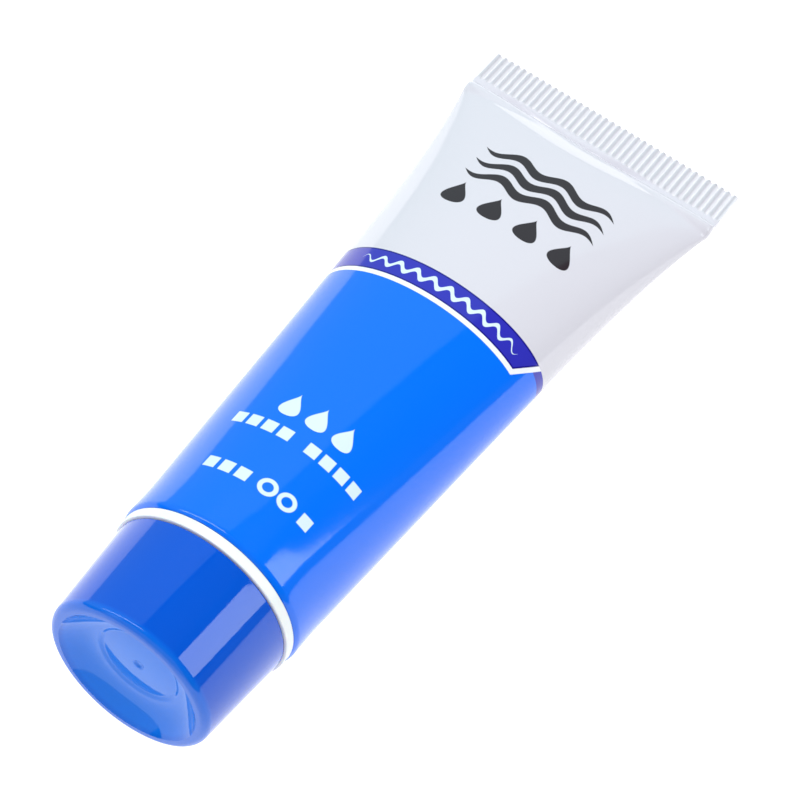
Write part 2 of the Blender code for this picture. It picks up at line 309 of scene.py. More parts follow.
CRIMP_FOOT = SLEEVE_LENGTH - CRIMP_HEIGHT
MARGIN_FOOT = CRIMP_FOOT - FLAT_MARGIN
WALL_MIDDLE = TUBE_RADIUS - SLEEVE_WALL / 2
PERIMETER = 2 * math.pi * WALL_MIDDLE
FLAT_HALF_WIDTH = PERIMETER / 4 + SLEEVE_WALL / 2


def ellipse_perimeter(a, b):
    """Ramanujan's formula."""
    share = ((a - b) / (a + b)) ** 2
    return math.pi * (a + b) * (1 + 3 * share / (10 + math.sqrt(4 - 3 * share)))


def half_width(z):
    """Half the sleeve's width at height z."""
    t = min(max((z - ROUND_LENGTH) / (MARGIN_FOOT - ROUND_LENGTH), 0.0), 1.0)
    growth = EVEN_SHARE * t + (1 - EVEN_SHARE) * t ** LATE_POWER
    return TUBE_RADIUS + (FLAT_HALF_WIDTH - TUBE_RADIUS) * growth


def half_height(z):
    """Half its depth, found by halving an interval until the perimeter fits."""
    a = half_width(z) - SLEEVE_WALL / 2
    low, high = 0.0, WALL_MIDDLE
    for _ in range(40):
        middle = (low + high) / 2
        if ellipse_perimeter(a, middle) > PERIMETER:
            high = middle
        else:
            low = middle
    return max(low + SLEEVE_WALL / 2, CRIMP_THICKNESS / 2)


REST_SLOPE = (half_height(PRESS_START) - half_height(PRESS_END)) / (PRESS_END - PRESS_START)
REST_HEIGHT = half_height(PRESS_START) - PRESS + REST_SLOPE * PRESS_START
print("flat width", round(2 * FLAT_HALF_WIDTH, 2), "lean", round(math.degrees(math.atan(REST_SLOPE)), 2))

# %% [markdown]
# ## Columns that meet the ribs
#
# The sealing jaws leave a row of fine ribs across the crimp. They are real relief, so they are modelled,
# not painted. For that the mesh columns have to line up with them: in the flat part the columns are spaced
# evenly across the width, eight to a rib, and in the round part evenly along the outline, and the two
# spacings blend in between. Column 0 lies on the middle of the back, where the laminate is welded. The
# skin also stays a little fuller near the crimp than the CAD solid, as the cream behind it holds it open.

# %% Rings of the sleeve
RIB_COUNT = 37
RIB_PITCH = 2 * FLAT_HALF_WIDTH / (RIB_COUNT + 1)
RIB_COLUMNS = 8
COLUMNS = 2 * RIB_COLUMNS * (RIB_COUNT + 1)
OUTLINE_POINTS = 6001
FULL_LENGTH = 1.9                   # how much nearer the crimp the body stays full
FULL_START = 72.0
SQUARE_START = MARGIN_FOOT - 1.0    # the ellipse turns into a flat bar between these two heights
SQUARE_END = CRIMP_FOOT - 0.6
BAR_POWER = 8                       # the bar's superellipse, where an ellipse has 2


def smooth(low, high, value):
    """0 under low, 1 over high, and a smooth curve between them."""
    t = np.clip((value - low) / (high - low), 0.0, 1.0)
    return t * t * (3 - 2 * t)


def outline(z, inset):
    """COLUMNS points on the section at z, as arrays x and y, moved inwards by inset."""
    squareness = float(smooth(SQUARE_START, SQUARE_END, z))
    power = 2 / (2 + (BAR_POWER - 2) * squareness)
    turned_in = FOOT_ROUND * max(0.0, 1 - z / FOOT_HEIGHT) ** 2 if inset == 0 else 0.0
    a = half_width(z) - inset - turned_in
    full = FULL_LENGTH * float(smooth(FULL_START, MARGIN_FOOT, z))
    b = half_height(z - full) - inset - turned_in
    angle = np.linspace(math.pi / 2, 2.5 * math.pi, OUTLINE_POINTS)
    x = a * np.sign(np.cos(angle)) * np.abs(np.cos(angle)) ** power
    y = b * np.sign(np.sin(angle)) * np.abs(np.sin(angle)) ** power
    length = np.concatenate([[0.0], np.cumsum(np.hypot(np.diff(x), np.diff(y)))])
    marks = np.arange(COLUMNS) / COLUMNS
    even_x = np.interp(marks * length[-1], length, x)
    flat_x = a * (np.abs((4 * marks + 1) % 4 - 2) - 1)
    ring_x = even_x + (flat_x - even_x) * squareness
    side = np.where((marks > 0.25) & (marks < 0.75), -1.0, 1.0)
    share = np.clip(np.abs(ring_x / a), 0.0, 1.0) ** (2 / power)
    ring_y = side * b * (1 - share) ** (power / 2)
    return ring_x, ring_y


print("rib pitch", round(RIB_PITCH, 3), "columns", COLUMNS)

# %% [markdown]
# ## Relief on the sleeve
#
# Four things break the smooth skin. The ribs are V grooves that fade out near the crimp's inner edge. The
# jaw's edge leaves a raised hairline there and a crease below it. Between crease and body the pinched
# laminate sinks into a shallow lens-shaped facet that runs from corner to corner, because a flat sheet
# can't follow both a round and a straight edge. Lastly the back carries the lap weld of the laminate. All
# of it is a distance by which the skin moves in, written as one function of place.

# %% Relief of the ribs, the crease, the facet and the weld
RIB_DEPTH = 0.36
RIB_LENGTH = 5.7
RIB_FOOT = SLEEVE_LENGTH - RIB_LENGTH
RIB_FADE = 0.35
GROOVE_SHARE = 0.36                 # half width of a groove, in rib pitches
GROOVE_SLOPE = 1.25                 # over 1, the V has a narrow flat bottom
RIB_MARGIN = 0.25 * RIB_PITCH       # plain edge at both ends of the row
RIB_EDGE_FADE = 0.4
HAIRLINE = 0.06
HAIRLINE_WIDTH = 0.12
HAIRLINE_DROP = 0.1
CREASE_DEPTH = 0.1
CREASE_WIDTH = 0.45
CREASE_DROP = 1.62                  # mean distance of the crease below the crimp
CREASE_SWING = 0.53                 # how far it wanders up and down
CREASE_TURN = 0.24                  # radians of its wave per millimetre across
CREASE_PHASE = 2.82
CREASE_TILT = 0.035
FACET_DEPTH = 0.45
FACET_HEIGHT = 5.0
FACET_MIDDLE = -0.8
FACET_FADE = 1.2
WELD_WIDTH = 1.6
WELD_STEP = 0.06
WELD_FADE = 0.15


def crease_height(x):
    """Height of the crease, which wanders across the width."""
    wander = CREASE_SWING * np.cos(CREASE_TURN * x - CREASE_PHASE) + CREASE_TILT * x
    return CRIMP_FOOT - CREASE_DROP + wander


def sink(x, z, is_front):
    """How far the skin moves in at x and z, in millimetres."""
    rib = np.abs((x / RIB_PITCH) % 1.0 - 0.5)
    groove = np.clip(GROOVE_SLOPE * (1 - (0.5 - rib) / GROOVE_SHARE), 0.0, 1.0)
    on_crimp = smooth(RIB_FOOT, RIB_FOOT + RIB_FADE, z)
    inside = smooth(0.0, RIB_EDGE_FADE, FLAT_HALF_WIDTH - np.abs(x) - RIB_MARGIN)
    depth = RIB_DEPTH * groove * on_crimp * inside
    depth = depth - HAIRLINE * np.exp(-((z - RIB_FOOT + HAIRLINE_DROP) / HAIRLINE_WIDTH) ** 2) * inside

    # span is 1 in the middle of the facet and 0 at the crimp's corners.
    crease = crease_height(x if is_front else -x)
    span = 1 - np.clip(np.abs(x - FACET_MIDDLE) / (FLAT_HALF_WIDTH - 0.3), 0.0, 1.0) ** 2.4
    depth = depth + CREASE_DEPTH * np.exp(-((z - crease) / CREASE_WIDTH) ** 2) * (0.4 + 0.6 * span)
    lower = crease - FACET_HEIGHT * span ** 0.8 - 0.01
    facet = np.clip((z - lower) / (crease - lower), 0.0, 1.0) * (1 - smooth(crease, crease + FACET_FADE, z))
    depth = depth + FACET_DEPTH * facet * span
    if not is_front:
        lap = smooth(0.0, WELD_FADE, WELD_WIDTH / 2 - np.abs(x)) * (1 - on_crimp)
        depth = depth - WELD_STEP * lap
    return depth


print("crease between", round(float(crease_height(-18.0)), 2), "and", round(float(crease_height(18.0)), 2))

# %% [markdown]
# ## The sleeve
#
# Rows are a millimetre apart along the body, and a few tenths at the turned-in foot, the crease and the
# ribs. A thin inner wall makes the sleeve a closed solid. The crimp's outer edge and the hollow's end both
# close in a thin seam, so the whole sleeve is one closed skin.

# %% Build the sleeve
BODY_STEP = 1.0
FINE_STEP = 0.22
FINE_START = 80.0
INNER_ROWS = 24
HOLLOW_END_HEIGHT = 0.95            # half height of the sleeve where its hollow ends
SEAM_HEIGHT = 0.02                  # share of the height that a closing seam keeps
SEAM_LENGTH = 0.3


def sleeve_ring(z, inset=0.0):
    """One ring of the sleeve with its relief and its flattened underside."""
    x, y = outline(z, inset)
    if inset == 0.0:
        for is_front in (True, False):
            face = y < 0 if is_front else y >= 0
            moved = sink(x[face], z, is_front)
            y[face] = y[face] - np.sign(y[face]) * np.minimum(moved, np.abs(y[face]))
    y = np.minimum(y, REST_HEIGHT - REST_SLOPE * z - inset)
    return np.column_stack([x, y, np.full(COLUMNS, z)])


foot_rows = [0.0, 0.05, 0.12, 0.22, 0.35, 0.5, 0.65]
body_rows = list(np.arange(FOOT_HEIGHT, FINE_START, BODY_STEP))
fine_rows = list(np.arange(FINE_START, SLEEVE_LENGTH, FINE_STEP)) + [SLEEVE_LENGTH]
outer_rows = foot_rows + body_rows + fine_rows
hollow_end = next(z for z in fine_rows if half_height(z) < HOLLOW_END_HEIGHT)
inner_rows = list(np.linspace(0.0, hollow_end, INNER_ROWS))

outer_rings = [sleeve_ring(z) for z in outer_rows]
edge_x, edge_y = outline(SLEEVE_LENGTH, 0.0)
seam_line = np.column_stack([edge_x * 0.999, edge_y * SEAM_HEIGHT, np.full(COLUMNS, SLEEVE_LENGTH)])
inner_rings = [sleeve_ring(z, SLEEVE_WALL) for z in inner_rows]
inner_x, inner_y = outline(hollow_end, SLEEVE_WALL)
inner_line = np.column_stack([inner_x, inner_y * SEAM_HEIGHT, np.full(COLUMNS, hollow_end + SEAM_LENGTH)])
all_rings = [inner_line] + inner_rings[::-1] + outer_rings + [seam_line]
sleeve = skin("laminate_sleeve", all_rings, "tube")
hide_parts("tube_sleeve")
print("rows outside", len(outer_rows), "and inside", len(inner_rows), "hollow to", round(hollow_end, 2))

# %% [markdown]
# The print is made on the flat sheet before it is rolled up, so it should be drawn flat too. A UV map
# gives every face corner its place on that sheet: u runs round the tube from the middle of the front, v up
# from the foot, both in millimetres. The artwork can then be drawn to size. The map is cut at the back,
# under the weld.


# %% Place of every face corner on the flat print
def add_print_map(piece, heights):
    """Store u and v in millimetres for each face corner, from its column and its ring's height."""
    mesh = piece.data
    place = mesh.uv_layers.new(name="print_map")
    corners = np.empty(len(mesh.loops), np.int64)
    mesh.loops.foreach_get("vertex_index", corners)
    height = np.repeat(heights, COLUMNS)[corners]
    column = corners % COLUMNS
    faces = np.repeat(np.arange(len(mesh.polygons)), 4)[: len(corners)]
    first = np.zeros(len(mesh.polygons), bool)
    np.logical_or.at(first, faces[column == 0], True)
    last = np.zeros(len(mesh.polygons), bool)
    np.logical_or.at(last, faces[column == COLUMNS - 1], True)
    wraps = (first & last)[faces] & (column == 0)
    around = (column + COLUMNS * wraps) / COLUMNS - 0.5
    place.data.foreach_set("uv", np.column_stack([around * PERIMETER, height]).ravel())


add_print_map(sleeve, [ring[0][2] for ring in all_rings])
print("the print is", round(PERIMETER, 2), "mm round and", SLEEVE_LENGTH, "mm high")

# %% [markdown]
# ## The print
#
# The artwork is flat colour with crisp edges: blue from the foot up, a navy band with a slanted right end,
# a white keyline round it, a thin navy line that carries on round the back, and bare white laminate above.
# Each is a region of u and v, so it is drawn with masks. There is no lettering. Plain ornaments take its
# place: waves, drops, bars and rings.

# %% Print colours
PRINT_EDGE = 0.09
WHITE_INK = (0.64, 0.62, 0.685)
KEYLINE_INK = (0.84, 0.85, 0.90)
BLUE_INK = (0.001, 0.152, 0.87)
NAVY_INK = (0.028, 0.028, 0.42)
NAVY_EDGE = (0.006, 0.003, 0.2)
DARK_INK = (0.030, 0.021, 0.027)
PALE_INK = (0.66, 0.78, 0.84)
# The next two are the ribbed crimp's paler white and the painted grey shade in its grooves.
PALE_CRIMP_TINT = (0.77, 0.755, 0.80)
GROOVE_SHADE_TINT = (0.37, 0.36, 0.42)

BAND_FOOT = 45.4
BAND_TOP = 49.4
BACK_LINE = 1.4                     # height of the thin line round the back
CUT_U = 12.8                        # right end of the band at its foot
CUT_SLOPE = 0.64
KEYLINE_WIDTH = 0.78
LEFT_U = -20.0                      # left end, round the side
EDGE_LINE = 0.24                    # dark rim of the band
print("band", round(BAND_TOP - BAND_FOOT, 2), "mm high, its right end leans", CUT_SLOPE, "mm a mm")

# %% [markdown]
# The ornaments repeat, so each is drawn once in a small cell and the cell is repeated with a wrapped
# coordinate. A wave is the distance from a sine curve, a drop is a circle drawn out to a point, a bar is a
# rectangle, a ring is the difference of two circles.

# %% Ornaments
def within(tree, value, middle, half, soft=PRINT_EDGE):
    """1 where value is no further than half from middle."""
    offset = calc(tree, "ABSOLUTE", calc(tree, "SUBTRACT", value, middle))
    return below(tree, offset, half, soft)


def cell(tree, value, start, pitch):
    """Distance from the middle of the repeated cell that value falls in."""
    shifted = calc(tree, "SUBTRACT", value, start)
    return calc(tree, "SUBTRACT", calc(tree, "FLOORED_MODULO", shifted, pitch), pitch / 2)


def wave(tree, u, v, middle, reach, height, length, stroke):
    """A sine stroke round the height middle, over u from -reach to reach, thinner at its ends."""
    swing = calc(tree, "SINE", calc(tree, "MULTIPLY", u, 2 * math.pi / length))
    line = calc(tree, "MULTIPLY_ADD", swing, height, middle)
    offset = calc(tree, "ABSOLUTE", calc(tree, "SUBTRACT", v, line))
    share = calc(tree, "MULTIPLY", u, 1 / reach)
    taper = calc(tree, "SUBTRACT", 1.0, calc(tree, "POWER", calc(tree, "ABSOLUTE", share), 4.0))
    width = calc(tree, "MULTIPLY", taper, stroke / 2)
    return both(tree, below(tree, offset, width, PRINT_EDGE), within(tree, u, 0.0, reach))


def drops(tree, u, v, first, pitch, count, foot_v, height):
    """A row of upright drops, their tips up; first is the middle of the first one."""
    start = first - pitch / 2
    x = calc(tree, "ABSOLUTE", cell(tree, u, start, pitch))
    t = calc(tree, "MULTIPLY_ADD", v, 2 / height, -1 - 2 * foot_v / height)
    square = calc(tree, "SUBTRACT", 1.0, calc(tree, "MULTIPLY", t, t))
    round_part = calc(tree, "SQRT", calc(tree, "MAXIMUM", square, 0.0))
    slim = calc(tree, "SUBTRACT", 1.0, t)
    width = calc(tree, "MULTIPLY", calc(tree, "MULTIPLY", round_part, slim), 0.27 * height)
    row = within(tree, u, start + count * pitch / 2, count * pitch / 2)
    tall = within(tree, v, foot_v + height / 2, height / 2)
    return both(tree, below(tree, x, width, PRINT_EDGE), row, tall)


def bars(tree, u, v, start, pitch, count, width, middle, height):
    """A row of upright bars."""
    across_bar = within(tree, cell(tree, u, start, pitch), 0.0, width / 2)
    row = within(tree, u, start + count * pitch / 2, count * pitch / 2)
    return both(tree, across_bar, row, within(tree, v, middle, height / 2))


def rings(tree, u, v, start, pitch, count, radius, stroke, middle):
    """A row of rings."""
    x = cell(tree, u, start, pitch)
    y = calc(tree, "SUBTRACT", v, middle)
    square = calc(tree, "ADD", calc(tree, "MULTIPLY", x, x), calc(tree, "MULTIPLY", y, y))
    offset = calc(tree, "ABSOLUTE", calc(tree, "SUBTRACT", calc(tree, "SQRT", square), radius))
    row = within(tree, u, start + count * pitch / 2, count * pitch / 2)
    return both(tree, below(tree, offset, stroke / 2, PRINT_EDGE), row)


print("ornaments", [ornament.__name__ for ornament in (wave, drops, bars, rings)])

# %% [markdown]
# Now the sheet is printed in the order a press would lay the inks: white laminate, blue, the keyline, navy,
# the darker rim that overprinting leaves along the navy, and the ornaments last. Then the ribbed crimp is
# painted a paler white, and a painted grey shade runs along its grooves: one more pair of masks in the
# ribs' rhythm.

# %% Print the sleeve
laminate, tree, shader = new_material("printed_laminate", 0.09, Specular_IOR_Level=0.5, IOR=1.5)
place = tree.nodes.new("ShaderNodeUVMap")
place.uv_map = "print_map"
split = tree.nodes.new("ShaderNodeSeparateXYZ")
tree.links.new(place.outputs["UV"], split.inputs[0])
u, v = split.outputs[0], split.outputs[1]

lean = calc(tree, "MULTIPLY_ADD", v, CUT_SLOPE, -BAND_FOOT * CUT_SLOPE)
slanted = calc(tree, "SUBTRACT", u, lean)


def front_band(grow):
    """The band's slanted shape on the front, grown by a margin."""
    sides = below(tree, slanted, CUT_U + grow, PRINT_EDGE)
    left = below(tree, LEFT_U - grow, slanted, PRINT_EDGE)
    foot_side = below(tree, BAND_FOOT - grow, v, PRINT_EDGE)
    return both(tree, sides, left, foot_side)


under_top = below(tree, v, BAND_TOP, PRINT_EDGE)
blue_area = below(tree, v, BAND_TOP - BACK_LINE, PRINT_EDGE)
band_area = both(tree, front_band(0.0), under_top)
band_core = both(tree, front_band(-EDGE_LINE), below(tree, v, BAND_TOP - EDGE_LINE, PRINT_EDGE))
key_area = both(tree, front_band(KEYLINE_WIDTH), under_top)

ink = paint(tree, WHITE_INK, NAVY_INK, under_top)
ink = paint(tree, ink, BLUE_INK, blue_area)
ink = paint(tree, ink, KEYLINE_INK, key_area)
ink = paint(tree, ink, NAVY_EDGE, band_area)
ink = paint(tree, ink, NAVY_INK, band_core)

emblem = either(
    tree,
    wave(tree, u, v, 74.3, 9.8, 0.75, 6.5, 1.7),
    wave(tree, u, v, 71.5, 9.8, 0.75, 6.5, 1.7),
    wave(tree, u, v, 68.7, 9.8, 0.75, 6.5, 1.7),
    drops(tree, u, v, -8.1, 5.3, 4, 61.5, 4.6),
)
ink = paint(tree, ink, DARK_INK, emblem)
band_wave = wave(tree, u, v, (BAND_FOOT + BAND_TOP) / 2, 12.0, 0.6, 2.4, 0.85)
front_marks = either(
    tree,
    band_wave,
    drops(tree, u, v, -3.7, 3.7, 3, 18.4, 3.7),
    bars(tree, u, v, -9.4, 2.15, 4, 1.6, 16.0, 1.7),
    bars(tree, u, v, 0.8, 2.15, 4, 1.6, 16.0, 1.7),
    bars(tree, u, v, -7.8, 2.2, 3, 1.6, 8.2, 1.7),
    rings(tree, u, v, -0.4, 2.7, 2, 0.95, 0.55, 8.4),
    bars(tree, u, v, 5.6, 2.1, 1, 1.6, 8.2, 1.7),
)
ink = paint(tree, ink, PALE_INK, front_marks)

ribs_per_mm = 2 * (RIB_COUNT + 1) / PERIMETER
phase = calc(tree, "MULTIPLY", u, ribs_per_mm)
GROOVE_SHADE_WIDTH = 0.2                   # half the painted grey shade line's width, as a share of the rib pitch
GROOVE_SHADE_SOFT = 0.3
PALE_CRIMP_FOOT = RIB_FOOT + 0.2
PALE_CRIMP_SOFT = 0.3
GROOVE_SHADE_STRENGTH = 0.65
# Painted shade: a grey line along each groove of the ribbed crimp, laid over a paler white on the crimp.
off_middle = calc(tree, "ABSOLUTE", cell(tree, phase, 0.0, 1.0))
groove = below(tree, off_middle, GROOVE_SHADE_WIDTH, GROOVE_SHADE_SOFT)
ribbed = below(tree, PALE_CRIMP_FOOT, v, PALE_CRIMP_SOFT)
ink = paint(tree, ink, PALE_CRIMP_TINT, ribbed)
ink = paint(tree, ink, GROOVE_SHADE_TINT, calc(tree, "MULTIPLY", both(tree, groove, ribbed), GROOVE_SHADE_STRENGTH))
feed(tree, ink, shader.inputs["Base Color"])
peel = calc(tree, "MULTIPLY", noise(tree, 0.9), 0.004)
bulk = calc(tree, "MULTIPLY_ADD", noise(tree, 14.0, 1.0), 0.10, peel)
relief(tree, shader, bulk)
vary_gloss(tree, shader, 0.05, 5.0)
sleeve.data.materials.append(laminate)
print("print nodes", len(tree.nodes))

# %% [markdown]
# ## Threads
#
# The nozzle carries a right-handed screw thread and the cap's boss its mate. A boolean union of a swept
# ridge would do, but a thread is also just a height on a cylinder: unroll the wall, and the thread is a
# straight slanted ridge. So the turned wall gets rows fine enough to carry it, and each point's radius
# grows by the ridge's height there. The mesh stays one clean skin.

# %% The thread as a height on the wall
RIM_HEIGHT = 1.2
SHOULDER_RISE = 3.4
NECK_RADIUS = 5.7
NECK_LENGTH = 4.35
NECK_CHAMFER = 0.3
THREAD_PITCH = 2.5
THREAD_DEPTH = 0.8
THREAD_CLEARANCE = 0.3
THREAD_START = 0.7
RIDGE_ROOT = 1.1
RIDGE_CREST = 0.5
RIDGE_FADE = 0.125                  # turns over which a ridge rises at its ends
GAP = 0.3

NECK_FOOT = RIM_HEIGHT + SHOULDER_RISE
LAND = NECK_FOOT + NECK_LENGTH
BORE_RADIUS = NECK_RADIUS + THREAD_DEPTH + THREAD_CLEARANCE
THREAD_ROWS = 44


def thread_height(angle, depth, start, turns):
    """Height of a ridge that starts at the depth start and runs on for some turns."""
    turn_share = (-angle / (2 * math.pi)) % 1.0
    along = round((depth - start) / THREAD_PITCH - turn_share)
    travelled = min(max(turn_share + along, 0.0), turns)
    if abs(travelled - turn_share - along) > 1e-9:
        return 0.0
    offset = abs(depth - start - THREAD_PITCH * travelled)
    flank = (RIDGE_ROOT / 2 - offset) / ((RIDGE_ROOT - RIDGE_CREST) / 2)
    fade = min(1.0, travelled / RIDGE_FADE, (turns - travelled) / RIDGE_FADE)
    return THREAD_DEPTH * fade * min(max(flank, 0.0), 1.0)


def wall(radius, start, end):
    """Fine rows of a straight wall."""
    return [(radius, float(depth)) for depth in np.linspace(start, end, THREAD_ROWS)]


print("nozzle from depth", round(NECK_FOOT, 2), "to", round(LAND, 2))
print("cap bore radius", round(BORE_RADIUS, 2))

# %% [markdown]
# ## The head
#
# The head is one white moulding: a rim that shows as the ring between sleeve and cap, a cone, and the
# threaded nozzle with its mouth. All of it is round, so it is one turned profile: down the outside of the
# spigot, up its inside, and back over the cone. The ring nearly fills the gap under the cap, so that no
# dark line shows there.

# %% Build the head
RIM_RADIUS = TUBE_RADIUS - 0.3
RING_DEPTH = 1.4                    # the ring's face, close under the cap's mouth
RING_STEP = 0.1
RIM_TOP = 0.4 * GAP
NECK_STEP = 0.02                    # keeps the chamfer's row off the threaded wall
SPIGOT_RADIUS = TUBE_RADIUS - SLEEVE_WALL - GAP
SPIGOT_LENGTH = 3.0
HEAD_WALL = 1.1
NECK_WALL = 1.2
LAND_THICKNESS = 0.8
ORIFICE_RADIUS = 3.5
CAP_MOUTH_RADIUS = TUBE_RADIUS - 0.6
CAP_WALL = 1.0
CONE_FOOT_RADIUS = CAP_MOUTH_RADIUS - CAP_WALL - GAP
NECK_TURNS = (NECK_LENGTH - THREAD_START - RIDGE_ROOT / 2 - NECK_CHAMFER) / THREAD_PITCH


def cone_depth(radius, offset):
    """Depth of the shoulder's cone at a radius, moved in by offset along its normal."""
    slope = SHOULDER_RISE / (CONE_FOOT_RADIUS - NECK_RADIUS)
    return NECK_FOOT - (radius - NECK_RADIUS) * slope - offset * math.hypot(1.0, slope)


def neck_shape(angle, radius, depth):
    """Raise the thread on the neck's straight wall."""
    if abs(radius - NECK_RADIUS) > 1e-6:
        return radius
    return radius + thread_height(angle, depth, NECK_FOOT + THREAD_START, NECK_TURNS)


spigot_bore = SPIGOT_RADIUS - HEAD_WALL
neck_bore = NECK_RADIUS - NECK_WALL
head_corners = [
    (CONE_FOOT_RADIUS, RIM_HEIGHT, 0.0),
    (CAP_MOUTH_RADIUS - CAP_WALL - RING_STEP, RIM_HEIGHT, 0.0),
    (CAP_MOUTH_RADIUS - CAP_WALL, RING_DEPTH, 0.0),
    (RIM_RADIUS, RING_DEPTH, 0.14),
    (RIM_RADIUS, RIM_TOP, 0.0),
    (SPIGOT_RADIUS, RIM_TOP, 0.0),
    (SPIGOT_RADIUS, -SPIGOT_LENGTH, 0.2),
    (spigot_bore, -SPIGOT_LENGTH, 0.2),
    (spigot_bore, cone_depth(spigot_bore, HEAD_WALL), 0.3),
    (neck_bore, cone_depth(neck_bore, HEAD_WALL), 0.3),
    (neck_bore, LAND - LAND_THICKNESS, 0.1),
    (ORIFICE_RADIUS, LAND - LAND_THICKNESS, 0.1),
    (ORIFICE_RADIUS, LAND, 0.0),
]
neck_top = [(NECK_RADIUS - NECK_CHAMFER, LAND), (NECK_RADIUS - NECK_STEP, LAND - NECK_CHAMFER)]
neck_wall = wall(NECK_RADIUS, LAND - NECK_CHAMFER - NECK_STEP, NECK_FOOT)
head = turned("moulded_head", rounded(head_corners) + neck_top + neck_wall, "tube", True, neck_shape)
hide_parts("tube_head")

# %% [markdown]
# Low density polyethylene is milky: light goes in a little way and comes out beside where it went in. A
# small share of subsurface scattering does that. Its surface is satin, so the roughness is well above the
# cap's.

# %% White polyethylene
milky, tree, shader = new_material(
    "white_polyethylene", 0.32, Subsurface_Weight=0.15, Subsurface_Scale=MM, Specular_IOR_Level=0.5
)
cloud = calc(tree, "MULTIPLY_ADD", noise(tree, 3.0), 0.25, 0.5, clamp=True)
feed(tree, paint(tree, (0.80, 0.83, 0.84), (0.86, 0.88, 0.89), cloud), shader.inputs["Base Color"])
relief(tree, shader, calc(tree, "MULTIPLY", noise(tree, 0.4), 0.006))
vary_gloss(tree, shader, 0.1, 2.0)
head.data.materials.append(milky)
print("head finish", milky.name)

# %% [markdown]
# ## The foil seal
#
# A new tube has a peel-off membrane welded over the nozzle's mouth. The welding tool presses a fine grid
# into the foil and leaves a flat ring where the land is under it. The middle, with nothing beneath, domes
# very slightly. The dome is geometry and the grid, a fraction of a millimetre wide, is bump.

# %% Build the foil seal
FOIL_BASE = LAND + GAP
FOIL_THICKNESS = 0.15
FOIL_RADIUS = NECK_RADIUS - NECK_CHAMFER
FOIL_DOME = 0.08
FOIL_ROWS = 14
EMBOSS_PITCH = 0.45
EMBOSS_HEIGHT = 0.02


def foil_face(depth):
    """Profile from the rim to the middle of a face that domes over the mouth."""
    profile = []
    for radius in np.linspace(FOIL_RADIUS, 0.0, FOIL_ROWS):
        dome = FOIL_DOME * max(0.0, 1 - (radius / ORIFICE_RADIUS) ** 2)
        profile.append((float(radius), depth + dome))
    return profile


foil_profile = foil_face(FOIL_BASE)[::-1] + foil_face(FOIL_BASE + FOIL_THICKNESS)
foil = turned("foil_membrane", foil_profile, "tube")
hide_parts("foil_seal")

# %% Embossed foil
metal, tree, shader = new_material("embossed_foil", 0.26, Metallic=1.0)
place = tree.nodes.new("ShaderNodeTexCoord")
split = tree.nodes.new("ShaderNodeSeparateXYZ")
tree.links.new(place.outputs["Object"], split.inputs[0])
grid = []
for axis in range(2):
    turns = calc(tree, "MULTIPLY", split.outputs[axis], 2 * math.pi / (EMBOSS_PITCH * MM))
    grid.append(calc(tree, "SINE", turns))
emboss = calc(tree, "MULTIPLY", calc(tree, "MULTIPLY", grid[0], grid[1]), EMBOSS_HEIGHT)
wrinkle = calc(tree, "MULTIPLY_ADD", noise(tree, 1.6), 0.05, emboss)
relief(tree, shader, wrinkle)
tint = calc(tree, "MULTIPLY_ADD", noise(tree, 2.0), 0.4, 0.5, clamp=True)
feed(tree, paint(tree, (0.72, 0.73, 0.75), (0.86, 0.87, 0.88), tint), shader.inputs["Base Color"])
vary_gloss(tree, shader, 0.15, 0.8)
foil.data.materials.append(metal)
print("foil finish", metal.name)

# %% [markdown]
# ## The cap
#
# The cap is a polished moulding with a tapered skirt. Its end is dished, so that the tube stands on a
# narrow ring, with a low disc in the middle where the mould's gate left a dimple. Inside are the threaded
# boss and an annular pocket that keeps the wall thin. Formulas give the dish and the disc, as a few
# rounded corners can't. The rounded outer edge has the most rows, because a lamp draws its brightest line
# there.

# %% Build the cap
CAP_DRAFT = math.radians(4.1)
CAP_MOUTH = RIM_HEIGHT + GAP
CAP_EDGE = 1.0
CAP_RIM_WIDTH = 0.5
END_WALL = 1.5
DISC_RADIUS = 5.7
DISC_STEP = 0.3
DISC_CROWN = 0.25
DISC_SOFTNESS = 0.7                 # width of the step at the disc's rim
GATE_RADIUS = 0.7
GATE_DEPTH = 0.25
BOSS_WALL = 1.0
BOSS_MOUTH = NECK_FOOT + 0.4
LINER_BASE = FOIL_BASE + FOIL_THICKNESS + GAP
LINER_THICKNESS = 1.0
CEILING = LINER_BASE + LINER_THICKNESS + GAP
DISH_FLOOR = CEILING + END_WALL
EDGE_STEPS = 12
DISH_ROWS = 20
DISC_ROWS = 40
CAP_THREAD_START = NECK_FOOT + THREAD_START + THREAD_PITCH / 2
CAP_TURNS = (LINER_BASE - GAP - RIDGE_ROOT / 2 - CAP_THREAD_START) / THREAD_PITCH

edge_start = CAP_DEPTH - CAP_EDGE


def skirt(depth):
    """Radius of the cap's outside at a depth."""
    return CAP_MOUTH_RADIUS - (depth - CAP_MOUTH) * math.tan(CAP_DRAFT)


ring_outer = skirt(edge_start) - CAP_EDGE
ring_inner = ring_outer - CAP_RIM_WIDTH
dish_edge = DISH_FLOOR + DISC_STEP


def dish(radius):
    """Depth of the dished end at a radius."""
    share = (radius - DISC_RADIUS) / (ring_inner - DISC_RADIUS)
    return dish_edge + (CAP_DEPTH - dish_edge) * share ** 2


def disc(radius):
    """Depth of the raised disc, with a soft step at its rim and a gate dimple in its middle."""
    crown = DISC_CROWN * (1 - (radius / DISC_RADIUS) ** 2)
    step = DISC_STEP * float(smooth(DISC_RADIUS - DISC_SOFTNESS, DISC_RADIUS, radius))
    gate = GATE_DEPTH * (1 - float(smooth(GATE_RADIUS * 0.5, GATE_RADIUS, radius)))
    return DISH_FLOOR + crown + step - gate


def cap_shape(angle, radius, depth):
    """Raise the thread inwards from the boss's bore."""
    if abs(radius - BORE_RADIUS) > 1e-6:
        return radius
    return radius - thread_height(angle, depth, CAP_THREAD_START, CAP_TURNS)


